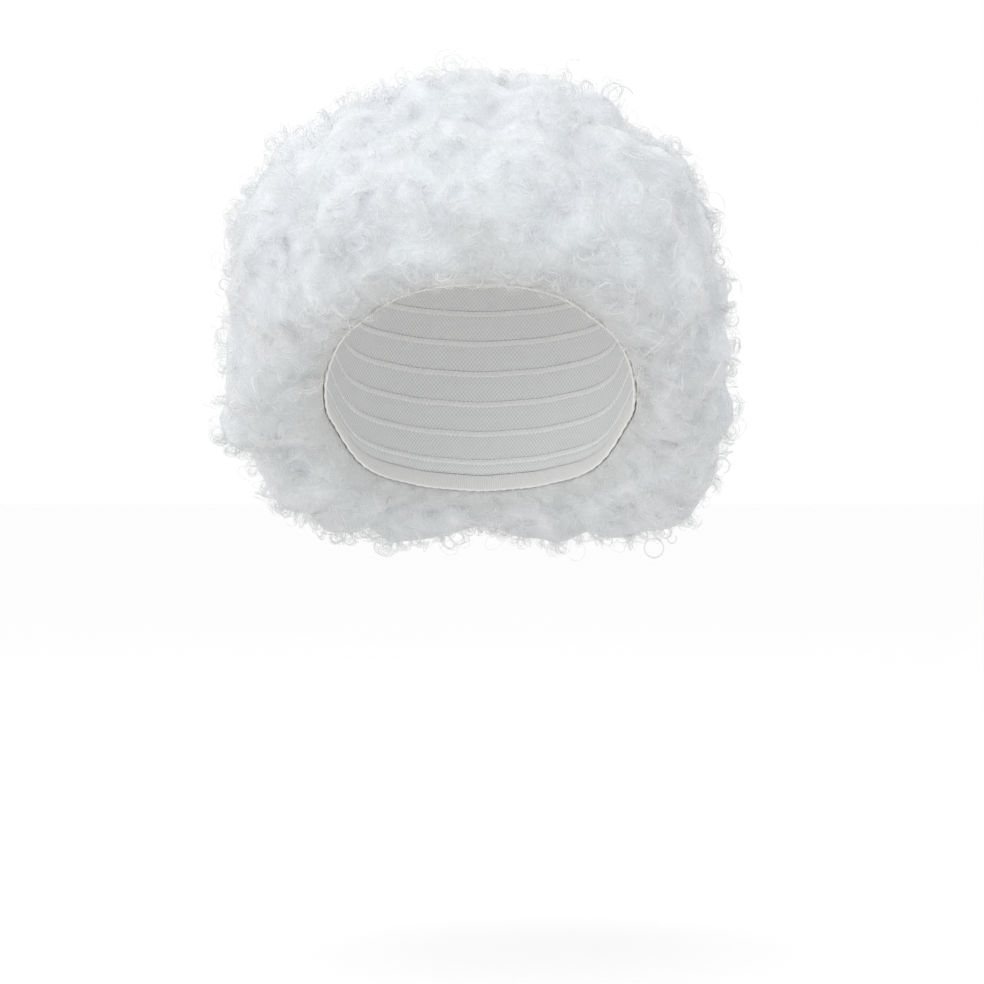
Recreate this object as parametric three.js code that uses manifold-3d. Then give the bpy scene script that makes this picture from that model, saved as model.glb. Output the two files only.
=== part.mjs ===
// Curly costume wig: a stretch cap with a bound edge, and rows of curly locks sewn round it.
// Millimetres, +Z up, the face opening towards -Y and the wearer's left side at +X.
// The origin is the top of the wearer's head, where the inside of the crown rests on it.
import * as THREE from "three";
import { MeshSurfaceSampler } from "three/addons/math/MeshSurfaceSampler.js";
import { mergeVertices } from "three/addons/utils/BufferGeometryUtils.js";
import Module from "manifold-3d";

const wasm = await Module();
wasm.setup();

// The head that the cap is cut for, an ellipsoid with its top at the origin
const head = { halfBreadth: 77, halfLength: 98, halfHeight: 100 };

// The net cap and the elastic band that is sewn along its edge
const cap = { wall: 1.6, aroundSteps: 36, downSteps: 8 };
const band = { width: 10, wall: 1.8, seam: 0.4 };

// How far below the top of the head the cap's edge runs, from the forehead round to the nape
const edgeDrops = [
  { azimuth: 0, drop: 64 },
  { azimuth: 30, drop: 69 },
  { azimuth: 48, drop: 80 },
  { azimuth: 62, drop: 90 },
  { azimuth: 76, drop: 106 },
  { azimuth: 90, drop: 121 },
  { azimuth: 102, drop: 128 },
  { azimuth: 118, drop: 146 },
  { azimuth: 145, drop: 156 },
  { azimuth: 180, drop: 160 },
];

// How far the locks stand out from the head, by the angle from the crown:
// in front, on the wearer's left and right, and behind
const hairDepths = [
  { fromCrown: 0, front: 47, left: 47, right: 47, back: 47 },
  { fromCrown: 15, front: 48, left: 56.5, right: 52, back: 49 },
  { fromCrown: 30, front: 48, left: 58, right: 59, back: 55 },
  { fromCrown: 45, front: 46, left: 69.5, right: 71, back: 58 },
  { fromCrown: 60, front: 43, left: 58.5, right: 65, back: 59 },
  { fromCrown: 80, front: 40, left: 51, right: 51, back: 58 },
  { fromCrown: 95, front: 40, left: 53.5, right: 56, back: 57 },
  { fromCrown: 111, front: 40, left: 65, right: 56.5, back: 55 },
  { fromCrown: 126, front: 40, left: 65, right: 59.5, back: 52 },
];
const sideReaches = { from: 85, to: 120 }; // the azimuths that are all side

// The dense hair under the locks: rounded over along the cap's edge, and hanging a little at the sides
const underHair = { belowTips: 10, droop: 0.36, clearOfCap: 0.4 };
const droopReaches = { from: 20, to: 90 }; // azimuths between which the hair comes to hang
const hairEdge = { round: 23, depth: 5, keepsLocks: 0.1 };
const hairGrid = { spacing: 9.5, downSteps: 25, edgeSteps: 6, fewest: 6, measureSteps: 24 };

// One lock: a long low tuft, lying any way on the under hair
const lock = { halfLength: 28, halfWidth: 19, rise: 13, spacing: 29, tries: 4000 };
const lockSpread = { size: 0.15, rise: 0.2 };
const lockSeed = 45;

// Rows of hair from the crown to the edge: each ends at a share of the way down
const hairRows = [
  { name: "crown_weft", endsAt: 0.22 },
  { name: "weft_row_1", endsAt: 0.42 },
  { name: "weft_row_2", endsAt: 0.62 },
  { name: "weft_row_3", endsAt: 0.82 },
  { name: "edge_weft", endsAt: 1 },
];
const rowSeam = 0.6; // clear space between two rows, at the cap
const weld = 0.001; // points closer than this are one

const finishes = {
  net: { color: 0xe9e8e4, roughness: 0.85, metalness: 0 },
  elastic: { color: 0xf0eeea, roughness: 0.7, metalness: 0 },
  curls: { color: 0xeef1f5, roughness: 0.6, metalness: 0 },
};

const { lerp, clamp, smoothstep, degToRad, radToDeg, euclideanModulo } = THREE.MathUtils;

// A smooth curve through a table: the function that reads value against key
function smoothTable(rows, key, value) {
  const curve = new THREE.CubicInterpolant(
    rows.map((row) => row[key]),
    rows.map((row) => row[value]),
    1,
  );
  curve.settings = { endingStart: THREE.ZeroSlopeEnding, endingEnd: THREE.ZeroSlopeEnding };
  return (at) => curve.evaluate(at)[0];
}

const edgeDropAt = smoothTable(edgeDrops, "azimuth", "drop");
const frontDepthAt = smoothTable(hairDepths, "fromCrown", "front");
const leftDepthAt = smoothTable(hairDepths, "fromCrown", "left");
const rightDepthAt = smoothTable(hairDepths, "fromCrown", "right");
const backDepthAt = smoothTable(hairDepths, "fromCrown", "back");

// Degrees from the front, the same on both sides of the head
const fromFront = (azimuth) => Math.abs(euclideanModulo(azimuth + 180, 360) - 180);

// Millimetres along the head, turned into degrees from the crown
const alongHead = (length) => radToDeg((2 * length) / (head.halfLength + head.halfHeight));

// The angle from the crown at which the cap's edge lies
const edgeAngle = (azimuth) =>
  radToDeg(Math.acos(1 - edgeDropAt(fromFront(azimuth)) / head.halfHeight));

// The edge of the net, where the band begins, as an angle from the crown
const netEdge = (azimuth) => edgeAngle(azimuth) - alongHead(band.width);

// A point at a height above the head's surface
function onHead(azimuth, fromCrown, height) {
  const [around, down] = [degToRad(azimuth), degToRad(fromCrown)];
  const unit = new THREE.Vector3(
    Math.sin(down) * Math.sin(around),
    -Math.sin(down) * Math.cos(around),
    Math.cos(down),
  );
  const sizes = new THREE.Vector3(head.halfBreadth, head.halfLength, head.halfHeight);
  const normal = unit.clone().divide(sizes).normalize();
  const point = unit.multiply(sizes).addScaledVector(normal, height);
  point.z -= head.halfHeight;
  return point;
}

// How far the tips of the locks stand out from the head
function hairDepth(azimuth, fromCrown) {
  const turned = fromFront(azimuth);
  const toSide = smoothstep(turned, 0, sideReaches.from);
  const toBack = smoothstep(turned, sideReaches.to, 180);
  const sideDepthAt = euclideanModulo(azimuth, 360) < 180 ? leftDepthAt : rightDepthAt;
  const ahead = lerp(frontDepthAt(fromCrown), sideDepthAt(fromCrown), toSide);
  return lerp(ahead, backDepthAt(fromCrown), toBack);
}

// Random numbers from 0 to 1, the same on each run
function seededRandom(seed) {
  let state = seed;
  return () => {
    state = (Math.imul(state, 1664525) + 1013904223) >>> 0;
    return state / 2 ** 32;
  };
}

// A ring of points round the head, from a function of azimuth, shifted by a part of a step
const ringOf = (pointAt, steps, shift = 0) =>
  Array.from({ length: steps }, (_, step) => pointAt((360 * (step + shift)) / steps));

// A surface over rings of points, each going once round the head or a single point.
// Two rings that differ in count are zipped up by whichever has its next point first.
// A joined list of rings closes on itself.
function ringGeometry(rings, joined = false) {
  const starts = [];
  const positions = [];
  for (const ring of rings) {
    starts.push(positions.length / 3);
    ring.forEach((point) => positions.push(...point.toArray()));
  }
  const corner = (ring, step) => starts[ring] + (step % rings[ring].length);
  const stepsOf = (ring) => (rings[ring].length === 1 ? 0 : rings[ring].length);
  const faces = [];
  const last = joined ? rings.length : rings.length - 1;
  for (let here = 0; here < last; here++) {
    const next = (here + 1) % rings.length;
    const [hereSteps, nextSteps] = [stepsOf(here), stepsOf(next)];
    let [i, j] = [0, 0];
    while (i < hereSteps || j < nextSteps) {
      const hereFirst = (i + 1) * nextSteps <= (j + 1) * hereSteps;
      if (j === nextSteps || (i < hereSteps && hereFirst)) {
        faces.push(corner(here, i), corner(next, j), corner(here, i + 1));
        i++;
      } else {
        faces.push(corner(here, i), corner(next, j), corner(next, j + 1));
        j++;
      }
    }
  }
  const geometry = new THREE.BufferGeometry();
  geometry.setAttribute("position", new THREE.Float32BufferAttribute(positions, 3));
  geometry.setIndex(faces);
  geometry.computeVertexNormals();
  return geometry;
}

// A ring at a height above the head, on a line given as an angle from the crown
const capRing = (lineAt, height) =>
  ringOf((azimuth) => onHead(azimuth, lineAt(azimuth), height), cap.aroundSteps);

// Lines round the net from the crown to the band
const netLines = Array.from(
  { length: cap.downSteps },
  (_, step) => (azimuth) => (netEdge(azimuth) * (step + 1)) / cap.downSteps,
);

// One side of the net, as rings from the crown down
const netSide = (height) => [
  [onHead(0, 0, height)],
  ...netLines.map((lineAt) => capRing(lineAt, height)),
];

const capGeometry = () => ringGeometry([...netSide(cap.wall), ...netSide(0).reverse()]);

function bandGeometry() {
  const topLine = (azimuth) => netEdge(azimuth) + alongHead(band.seam);
  const [outer, inner] = [cap.wall, cap.wall - band.wall];
  return ringGeometry(
    [
      capRing(topLine, outer),
      capRing(edgeAngle, outer),
      capRing(edgeAngle, inner),
      capRing(topLine, inner),
    ],
    true,
  );
}

// A point of the under hair: straight share of the way down, then turned in round the edge
function underHairPoint(azimuth, share, turn) {
  const round = alongHead(hairEdge.round);
  const turned = degToRad(turn);
  const fromCrown = (edgeAngle(azimuth) - round) * share + round * Math.sin(turned);
  const full = hairDepth(azimuth, fromCrown) - underHair.belowTips;
  const height = lerp(hairEdge.depth, full, Math.cos(turned));
  const point = onHead(azimuth, fromCrown, height);
  const toSide = smoothstep(fromFront(azimuth), droopReaches.from, droopReaches.to);
  const sideways = Math.sin(degToRad(fromCrown)) * toSide;
  point.z -= underHair.droop * sideways * height;
  return point;
}

// A ring of the under hair, with points about as far apart as the grid's spacing.
// Every second ring is shifted by half a step, so that the faces are nearly equilateral.
function underHairRing(index, share, turn) {
  const pointAt = (azimuth) => underHairPoint(azimuth, share, turn);
  const measured = new THREE.CatmullRomCurve3(ringOf(pointAt, hairGrid.measureSteps), true);
  const steps = Math.max(hairGrid.fewest, Math.round(measured.getLength() / hairGrid.spacing));
  return ringOf(pointAt, steps, (index % 2) / 2);
}

// The outside of the under hair: rings from the crown to the cap's edge,
// each with the share of a lock's rise that is left there
function underHairRings() {
  const rings = [{ points: [underHairPoint(0, 0, 0)], keeps: 1 }];
  for (let step = 1; step <= hairGrid.downSteps; step++) {
    rings.push({ points: underHairRing(step, step / hairGrid.downSteps, 0), keeps: 1 });
  }
  for (let step = 1; step <= hairGrid.edgeSteps; step++) {
    const share = step / hairGrid.edgeSteps;
    const keeps = lerp(1, hairEdge.keepsLocks, share ** 2);
    rings.push({ points: underHairRing(hairGrid.downSteps + step, 1, 90 * share), keeps });
  }
  return rings;
}

// Locks scattered over a surface, each as far from the others as their spacing
function scatterLocks(surface) {
  const random = seededRandom(lockSeed);
  const spread = (range) => 1 + range * (2 * random() - 1);
  const sampler = new MeshSurfaceSampler(new THREE.Mesh(surface)).setRandomGenerator(random).build();
  const locks = [];
  for (let tries = 0; tries < lock.tries; tries++) {
    const [root, outward] = [new THREE.Vector3(), new THREE.Vector3()];
    sampler.sample(root, outward);
    if (locks.some((other) => other.root.distanceTo(root) < lock.spacing)) continue;
    const anyWay = new THREE.Vector3(random() - 0.5, random() - 0.5, random() - 0.5);
    const along = anyWay.projectOnPlane(outward).normalize();
    const across = new THREE.Vector3().crossVectors(outward, along).normalize();
    const size = spread(lockSpread.size);
    locks.push({ root, outward, along, across, size, rise: lock.rise * spread(lockSpread.rise) });
  }
  return locks;
}

// How far a lock stands out over a point beside its root: a low dome, longer than it is wide
function lockHeight({ root, outward, along, across, size, rise }, point) {
  const offset = point.clone().sub(root).divideScalar(size);
  if (Math.abs(offset.dot(outward)) > lock.halfLength) return 0;
  const lengthways = offset.dot(along) / lock.halfLength;
  const widthways = offset.dot(across) / lock.halfWidth;
  return rise * Math.max(0, 1 - lengthways ** 2 - widthways ** 2);
}

// The under hair with its locks fused on: each point stands out by the highest lock over it
function lockedHairRings() {
  const rings = underHairRings();
  const surface = ringGeometry(rings.map(({ points }) => points));
  const locks = scatterLocks(surface);
  const normals = surface.attributes.normal;
  let vertex = 0;
  return rings.map(({ points, keeps }) =>
    points.map((point) => {
      const normal = new THREE.Vector3().fromBufferAttribute(normals, vertex++);
      const rise = keeps * Math.max(...locks.map((each) => lockHeight(each, point)));
      return point.clone().addScaledVector(normal, rise);
    }),
  );
}

// The space that the hair is kept out of: the head with the cap on, and on down below its edge
function headSpaceGeometry() {
  const clear = cap.wall + underHair.clearOfCap;
  const lowest = 168;
  const below = [0.25, 0.5, 0.75, 1].map(
    (share) => (azimuth) => lerp(edgeAngle(azimuth), lowest, share),
  );
  const lines = [...netLines, edgeAngle, ...below];
  return ringGeometry([
    [onHead(0, 0, clear)],
    ...lines.map((lineAt) => capRing(lineAt, clear)),
    [onHead(0, 180, clear)],
  ]);
}

// The space over the crown, down to a line part of the way to the edge, moved by a part of a seam
function crownSpace(share, seam) {
  const [below, above] = [-5, 130];
  const line = (azimuth) => edgeAngle(azimuth) * share + alongHead(seam);
  const halfLine = (azimuth) => line(azimuth) / 2;
  const geometry = ringGeometry([
    [onHead(0, 0, above)],
    capRing(halfLine, above),
    capRing(line, above),
    capRing(line, below),
    capRing(halfLine, below),
    [onHead(0, 0, below)],
  ]);
  return solidOf(geometry);
}

// A closed geometry as a solid that can be joined and cut
function solidOf(geometry) {
  geometry.deleteAttribute("normal");
  const merged = mergeVertices(geometry, weld);
  const vertProperties = merged.attributes.position.array;
  const triVerts = new Uint32Array(merged.index.array);
  return new wasm.Manifold(new wasm.Mesh({ numProp: 3, vertProperties, triVerts }));
}

function geometryOf(solid) {
  const mesh = solid.getMesh();
  const geometry = new THREE.BufferGeometry();
  geometry.setAttribute("position", new THREE.BufferAttribute(mesh.vertProperties, 3));
  geometry.setIndex(new THREE.BufferAttribute(mesh.triVerts, 1));
  geometry.computeVertexNormals();
  return geometry;
}

// The largest body of a cut solid, without the crumbs that the cut leaves beside it
function largestBody(solid) {
  const bodies = solid.decompose();
  return bodies.reduce((best, body) => (body.volume() > best.volume() ? body : best));
}

// All the hair as one mass, and then each row of it: a strip of under hair with its locks
function hairGeometries() {
  const headMiddle = new THREE.Vector3(0, 0, -head.halfHeight);
  const grown = solidOf(ringGeometry([...lockedHairRings(), [headMiddle]]));
  const mass = grown.subtract(solidOf(headSpaceGeometry()));
  return hairRows.map(({ name, endsAt }, index) => {
    let piece = mass;
    if (index > 0) piece = piece.subtract(crownSpace(hairRows[index - 1].endsAt, rowSeam / 2));
    if (endsAt < 1) piece = piece.intersect(crownSpace(endsAt, -rowSeam / 2));
    return { name, geometry: geometryOf(largestBody(piece)) };
  });
}

const wig = new THREE.Group();
wig.name = "curly_wig";

function addPiece(name, geometry, finish) {
  const mesh = new THREE.Mesh(geometry, new THREE.MeshStandardMaterial(finish));
  mesh.name = name;
  wig.add(mesh);
}

addPiece("wig_cap", capGeometry(), finishes.net);
addPiece("edge_band", bandGeometry(), finishes.elastic);
for (const { name, geometry } of hairGeometries()) addPiece(name, geometry, finishes.curls);

export default wig;
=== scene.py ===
import math

import bmesh
import bpy
import numpy as np
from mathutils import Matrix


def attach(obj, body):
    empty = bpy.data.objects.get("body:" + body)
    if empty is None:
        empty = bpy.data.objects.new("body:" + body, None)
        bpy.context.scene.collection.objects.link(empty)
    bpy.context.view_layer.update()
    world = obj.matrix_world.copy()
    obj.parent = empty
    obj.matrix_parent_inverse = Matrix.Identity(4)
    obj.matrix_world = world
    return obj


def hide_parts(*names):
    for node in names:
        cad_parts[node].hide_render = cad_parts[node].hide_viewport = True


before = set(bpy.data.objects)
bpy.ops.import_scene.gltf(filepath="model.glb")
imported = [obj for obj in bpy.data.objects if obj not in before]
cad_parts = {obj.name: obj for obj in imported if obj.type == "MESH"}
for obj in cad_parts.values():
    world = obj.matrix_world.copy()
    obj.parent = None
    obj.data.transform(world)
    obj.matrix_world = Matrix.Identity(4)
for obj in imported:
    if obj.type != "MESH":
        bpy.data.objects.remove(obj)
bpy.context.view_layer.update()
mm = 0.001
fullTurn = 2 * math.pi
tiny = 1e-12  # keeps a division from zero

# the form that the cap is cut for: half breadth, half length, half height, with its top at the origin
formSizes = np.array([77.0, 98.0, 100.0]) * mm
anglePerMetre = 2 / (formSizes[1] + formSizes[2])  # from a way down the form to an angle from its crown
dropRounds = 8  # how often a point is dropped to the form to find its foot there
rimSteps = 36  # places round the band where the cap's edge is read
pastRim = 0.06  # angle past the rim that still counts as over the cap
hairRows = ["crown_weft", "weft_row_1", "weft_row_2", "weft_row_3", "edge_weft"]


def unit(vectors):  # each vector divided by its own length
    return vectors / np.maximum(np.linalg.norm(vectors, axis=-1, keepdims=True), tiny)


# one smooth mesh object from arrays of corners, four-sided and three-sided faces
def makePiece(name, points, quads, triangles, material):
    quads = np.asarray(quads, np.int32).reshape(-1, 4)
    triangles = np.asarray(triangles, np.int32).reshape(-1, 3)
    mesh = bpy.data.meshes.new(name)
    mesh.vertices.add(len(points))
    mesh.vertices.foreach_set("co", np.asarray(points, np.float32).ravel())
    corners = np.concatenate([quads.ravel(), triangles.ravel()])
    mesh.loops.add(len(corners))
    mesh.loops.foreach_set("vertex_index", corners)
    starts = np.concatenate([np.arange(len(quads)) * 4, quads.size + np.arange(len(triangles)) * 3])
    mesh.polygons.add(len(starts))
    mesh.polygons.foreach_set("loop_start", starts.astype(np.int32))
    mesh.update(calc_edges=True)
    mesh.validate()
    mesh.polygons.foreach_set("use_smooth", np.full(len(mesh.polygons), True))
    mesh.materials.append(material)
    piece = bpy.data.objects.new(name, mesh)
    bpy.context.scene.collection.objects.link(piece)
    return piece


def setTone(piece, name, values):  # a number on each corner of the mesh, for the material to read
    tones = piece.data.attributes.new(name, "FLOAT", "POINT")
    tones.data.foreach_set("value", np.asarray(values, np.float32))


def setPattern(piece, name, places):  # a UV map, from one place on the pattern for each corner of the mesh
    loops = np.zeros(len(piece.data.loops), np.int32)
    piece.data.loops.foreach_get("vertex_index", loops)
    pattern = piece.data.uv_layers.new(name=name)
    pattern.data.foreach_set("uv", np.asarray(places, np.float32)[loops].ravel())


def meshArrays(mesh, sides):  # a mesh's corners, and its faces of that many sides
    points = np.zeros(len(mesh.vertices) * 3, np.float32)
    mesh.vertices.foreach_get("co", points)
    corners = np.zeros(len(mesh.loops), np.int32)
    mesh.loops.foreach_get("vertex_index", corners)
    return points.reshape(-1, 3).astype(float), corners.reshape(-1, sides)


# rings of equal count, each joined to the next, and the last to the first where the rings wrap round
def ringFaces(ringCount, stepCount, firstIndex=0, wrapRings=False):
    index = firstIndex + np.arange(ringCount * stepCount).reshape(ringCount, stepCount)
    after = np.roll(index, -1, axis=1)
    nextRing, nextAfter = np.roll(index, -1, axis=0), np.roll(after, -1, axis=0)
    faces = np.stack([index, after, nextAfter, nextRing], axis=-1)
    return (faces if wrapRings else faces[:-1]).reshape(-1, 4)


def fanFaces(ring, pole):  # triangles from a closed ring of corners to one pole
    return np.stack([ring, np.roll(ring, -1), np.full(len(ring), pole)], axis=-1)


class Wire:
    # a socket in a material's tree; arithmetic on it adds Math nodes
    def __init__(self, tree, socket=None):
        self.tree = tree
        self.socket = socket

    def make(self, kind, settings=None, inputs=None, out=0):  # any node: its settings, then its sockets
        node = self.tree.nodes.new(kind)
        for key, value in (settings or {}).items():
            setattr(node, key, value)
        for key, value in (inputs or {}).items():
            if isinstance(value, Wire):
                self.tree.links.new(value.socket, node.inputs[key])
            else:
                node.inputs[key].default_value = value
        return Wire(self.tree, node.outputs[out] if len(node.outputs) else None)

    def math(self, operation, first, second=0.0):
        return self.make("ShaderNodeMath", {"operation": operation}, {0: first, 1: second})

    def __add__(self, other):
        return self.math("ADD", self, other)

    def __sub__(self, other):
        return self.math("SUBTRACT", self, other)

    def __rsub__(self, other):
        return self.math("SUBTRACT", other, self)

    def __mul__(self, other):
        return self.math("MULTIPLY", self, other)

    __radd__ = __add__
    __rmul__ = __mul__

    def sine(self):
        return self.math("SINE", self)

    def absolute(self):
        return self.math("ABSOLUTE", self)

    def axis(self, name):  # one of a vector's three numbers
        return self.make("ShaderNodeSeparateXYZ", {}, {0: self}, out=name)

    def stored(self, name):  # a number that the mesh carries on its corners
        return self.make("ShaderNodeAttribute", {"attribute_name": name}, out="Fac")

    def mix(self, share, first, second):  # a colour between two colours
        return self.make("ShaderNodeMix", {"data_type": "RGBA"}, {0: share, 6: first, 7: second}, out=2)

    def noise(self, place, scale, detail=2.0, out="Fac"):
        return self.make("ShaderNodeTexNoise", {}, {"Vector": place, "Scale": scale, "Detail": detail}, out)

    def between(self, low, high):  # the value read against two limits, 0 to 1
        limits = {"Value": self, "From Min": low, "From Max": high}
        return self.make("ShaderNodeMapRange", {"interpolation_type": "SMOOTHSTEP"}, limits)


def newMaterial(name):
    material = bpy.data.materials.new(name)
    material.use_nodes = True
    material.node_tree.nodes.clear()
    return material, Wire(material.node_tree)


# one principled surface into the material's output: a colour, a height for the bump, the rest from the look
def closeMaterial(wire, look, colour, height=None):
    inputs = {"Base Color": colour, "Roughness": look["roughness"], "Specular IOR Level": look["shine"]}
    if height is not None:
        relief = {"Strength": look["bump"], "Distance": look["bumpDepth"], "Height": height}
        inputs["Normal"] = wire.make("ShaderNodeBump", {}, relief)
    if "glow" in look:  # light passes a little way through hair, as far in every colour
        inputs["Subsurface Weight"] = look["glow"]
        inputs["Subsurface Radius"] = (1, 1, 1)
        inputs["Subsurface Scale"] = look["glowDepth"]
    surface = wire.make("ShaderNodeBsdfPrincipled", {}, inputs)
    wire.make("ShaderNodeOutputMaterial", {}, {"Surface": surface})


# the camera's place, how far the hair is from it, and the width that it takes in there
view = {"at": (0.006, -1.6, -0.161), "acrossAtHair": 0.492, "hairAway": 1.6}
alongView = np.array([0.0, 1.0, 0.0])  # the way that the camera looks
floor = {
    "height": -0.395, "radius": 60.0, "rings": 30, "steps": 96, "colour": (0.985, 0.985, 0.985, 1),
    "grain": 6.0, "grainShare": 0.985, "roughness": 0.9, "shine": 0.1,
}
# a white room, a little warm from below, with a wide lamp in front and one above
studio = {
    "sky": 1.0, "below": 1.01, "white": (1, 1, 1, 1), "warmth": (1.0, 0.98, 0.95, 1),
    "horizon": (-0.45, -0.02), "aim": (0.0, 0.0, -0.08),
    "key": {"at": (-1.3, -1.7, 0.0), "size": 1.6, "watts": 10.5},
    "top": {"at": (-0.4, -0.2, 1.9), "size": 2.0, "watts": 6.0},
}


def makeCamera():
    data = bpy.data.cameras.new("frontCamera")
    data.sensor_fit = "HORIZONTAL"
    data.angle = 2 * math.atan(view["acrossAtHair"] / 2 / view["hairAway"])
    camera = bpy.data.objects.new("frontCamera", data)
    camera.location = view["at"]
    camera.rotation_euler = (math.pi / 2, 0, 0)
    bpy.context.scene.collection.objects.link(camera)
    bpy.context.scene.camera = camera


def makeFloor():  # a flat round sheet: radius along one parameter, angle along the other
    radii = floor["radius"] * np.linspace(0, 1, floor["rings"] + 1)[1:] ** 2
    angles = np.linspace(0, fullTurn, floor["steps"], endpoint=False)
    ring = np.stack([np.cos(angles), np.sin(angles), np.zeros_like(angles)], axis=-1)
    middle = np.array([0, 0, floor["height"]])
    points = radii[:, None, None] * ring + middle
    points = np.concatenate([points.reshape(-1, 3), [middle]])
    quads = ringFaces(floor["rings"], floor["steps"])[:, ::-1]
    fan = fanFaces(np.arange(floor["steps"]), len(points) - 1)
    material, wire = newMaterial("pale_floor")
    grain = wire.noise(wire.make("ShaderNodeTexCoord", out="Object"), floor["grain"])
    low = tuple(c * floor["grainShare"] for c in floor["colour"][:3]) + (1,)
    closeMaterial(wire, floor, wire.mix(grain, low, floor["colour"]))
    sheet = makePiece("floor", points, quads, fan, material)
    sheet.visible_diffuse = False  # the light from below comes from the room alone


def makeLights():
    world = bpy.data.worlds.new("whiteRoom")
    bpy.context.scene.world = world
    world.use_nodes = True
    world.node_tree.nodes.clear()
    wire = Wire(world.node_tree)
    share = wire.make("ShaderNodeTexCoord", out="Generated").axis("Z").between(*studio["horizon"])
    light = share * (studio["sky"] - studio["below"]) + studio["below"]
    colour = wire.mix(share, studio["warmth"], studio["white"])
    background = wire.make("ShaderNodeBackground", {}, {"Color": colour, "Strength": light})
    wire.make("ShaderNodeOutputWorld", {}, {"Surface": background})
    for name in ("key", "top"):
        lamp = bpy.data.lights.new(name, "AREA")
        lamp.shape = "DISK"
        lamp.size = studio[name]["size"]
        lamp.energy = studio[name]["watts"]
        holder = bpy.data.objects.new(name, lamp)
        holder.location = studio[name]["at"]
        aim = np.array(studio["aim"]) - np.array(studio[name]["at"])
        fromBelow = math.atan2(math.hypot(aim[0], aim[1]), -aim[2])
        holder.rotation_euler = (fromBelow, 0, math.atan2(aim[1], aim[0]) - math.pi / 2)
        bpy.context.scene.collection.objects.link(holder)
    bpy.context.scene.view_settings.view_transform = "Standard"


makeCamera()
makeFloor()
makeLights()
print("studio: camera, floor and lights are set")


# a point at an azimuth from the front and an angle from the crown, raised along the form's normal
def onForm(azimuth, fromCrown, height):
    level = np.sin(fromCrown)
    direction = np.stack([level * np.sin(azimuth), -level * np.cos(azimuth), np.cos(fromCrown)], axis=-1)
    normal = unit(direction / formSizes)
    return direction * formSizes - np.array([0, 0, formSizes[2]]) + normal * np.asarray(height)[..., None]


# the reverse: azimuth, angle from the crown and height, found by dropping to the form a few times
def formPlace(points):
    centred = points + np.array([0, 0, formSizes[2]])
    foot = centred
    for _ in range(dropRounds):
        direction = unit(foot / formSizes)
        normal = unit(direction / formSizes)
        height = ((centred - direction * formSizes) * normal).sum(axis=-1)
        foot = centred - normal * height[..., None]
    azimuth = np.arctan2(direction[..., 0], -direction[..., 1])
    fromCrown = np.arccos(np.clip(direction[..., 2], -1, 1))
    return azimuth, fromCrown, height, normal


# the cap's edge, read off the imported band's lowest corners and carried round as a sum of waves
def rimReader():
    points, _ = meshArrays(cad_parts["edge_band"].data, 3)
    azimuth, fromCrown, _, _ = formPlace(points)
    steps = np.round(np.degrees(azimuth) / (360 / rimSteps)).astype(int) % rimSteps
    lowest = np.array([fromCrown[steps == step].max() for step in range(rimSteps)])
    waves = np.fft.rfft(lowest) / rimSteps
    orders = np.arange(len(waves))
    waves = waves * np.where((orders == 0) | (orders == rimSteps // 2), 1.0, 2.0)
    return lambda angles: (waves * np.exp(1j * np.multiply.outer(angles, orders))).real.sum(axis=-1)


rimAngle = rimReader()
print("rim: front", round(math.degrees(rimAngle(0.0)), 1), "nape", round(math.degrees(rimAngle(math.pi)), 1))


# the dense hair under the curls; lengths in mm, the shares are of the room between the hair and the cap
hairMass = {
    "weld": 0.001, "overlap": 0.6, "voxel": 3.0, "smoothing": 4, "step": 0.5,
    "sink": 1.4, "sinkShare": 0.4, "capRoom": 2.4, "offCap": 2.1,
    "tufts": 1.8, "tuftShare": 0.3, "tuftSize": 12.0, "tuftSeed": 5, "waves": 9, "octaves": 3,
    "octaveFall": 1.5, "settle": 12, "standing": 0.75,
}


def neighbourMean(values, edges):  # the mean of each corner's neighbours along the edges
    both = np.concatenate([edges, edges[:, ::-1]])
    count = np.bincount(both[:, 0], minlength=len(values))[:, None]
    total = [np.bincount(both[:, 0], column[both[:, 1]], minlength=len(values)) for column in values.T]
    return np.stack(total, axis=-1) / np.maximum(count, 1)


def cornerNormals(points, faces):  # the sum of the faces' normals, each the product of two diagonals
    first, second, third, last = (points[faces[:, k]] for k in (0, 1, 2, -1))
    across = np.cross(third - first, last - second)
    spread = np.repeat(across, faces.shape[1], axis=0)
    total = [np.bincount(faces.ravel(), column, minlength=len(points)) for column in spread.T]
    return unit(np.stack(total, axis=-1))


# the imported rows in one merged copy, filled over their seams on a fine grid of cubes
def hairSkin():
    work = bmesh.new()
    for name in hairRows:
        work.from_mesh(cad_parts[name].data)
    bmesh.ops.remove_doubles(work, verts=work.verts, dist=hairMass["weld"] * mm)
    mesh = bpy.data.meshes.new("hairSkin")
    work.to_mesh(mesh)
    work.free()
    points, faces = meshArrays(mesh, 3)
    points = points + cornerNormals(points, faces) * hairMass["overlap"] * mm
    mesh.vertices.foreach_set("co", points.astype(np.float32).ravel())
    mesh.update()
    holder = bpy.data.objects.new("hairSkin", mesh)
    bpy.context.scene.collection.objects.link(holder)
    cubes = holder.modifiers.new("cubes", "REMESH")
    cubes.mode = "VOXEL"
    cubes.voxel_size = hairMass["voxel"] * mm
    skin = bpy.data.meshes.new_from_object(holder.evaluated_get(bpy.context.evaluated_depsgraph_get()))
    points, quads = meshArrays(skin, 4)
    edges = np.zeros(len(skin.edges) * 2, np.int32)
    skin.edges.foreach_get("vertices", edges)
    edges = edges.reshape(-1, 2)
    bpy.data.objects.remove(holder)
    bpy.data.meshes.remove(mesh)
    bpy.data.meshes.remove(skin)
    for _ in range(hairMass["smoothing"]):  # each corner moves half-way to the mean of its neighbours
        points = points + hairMass["step"] * (neighbourMean(points, edges) - points)
    return points, quads, edges


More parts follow.
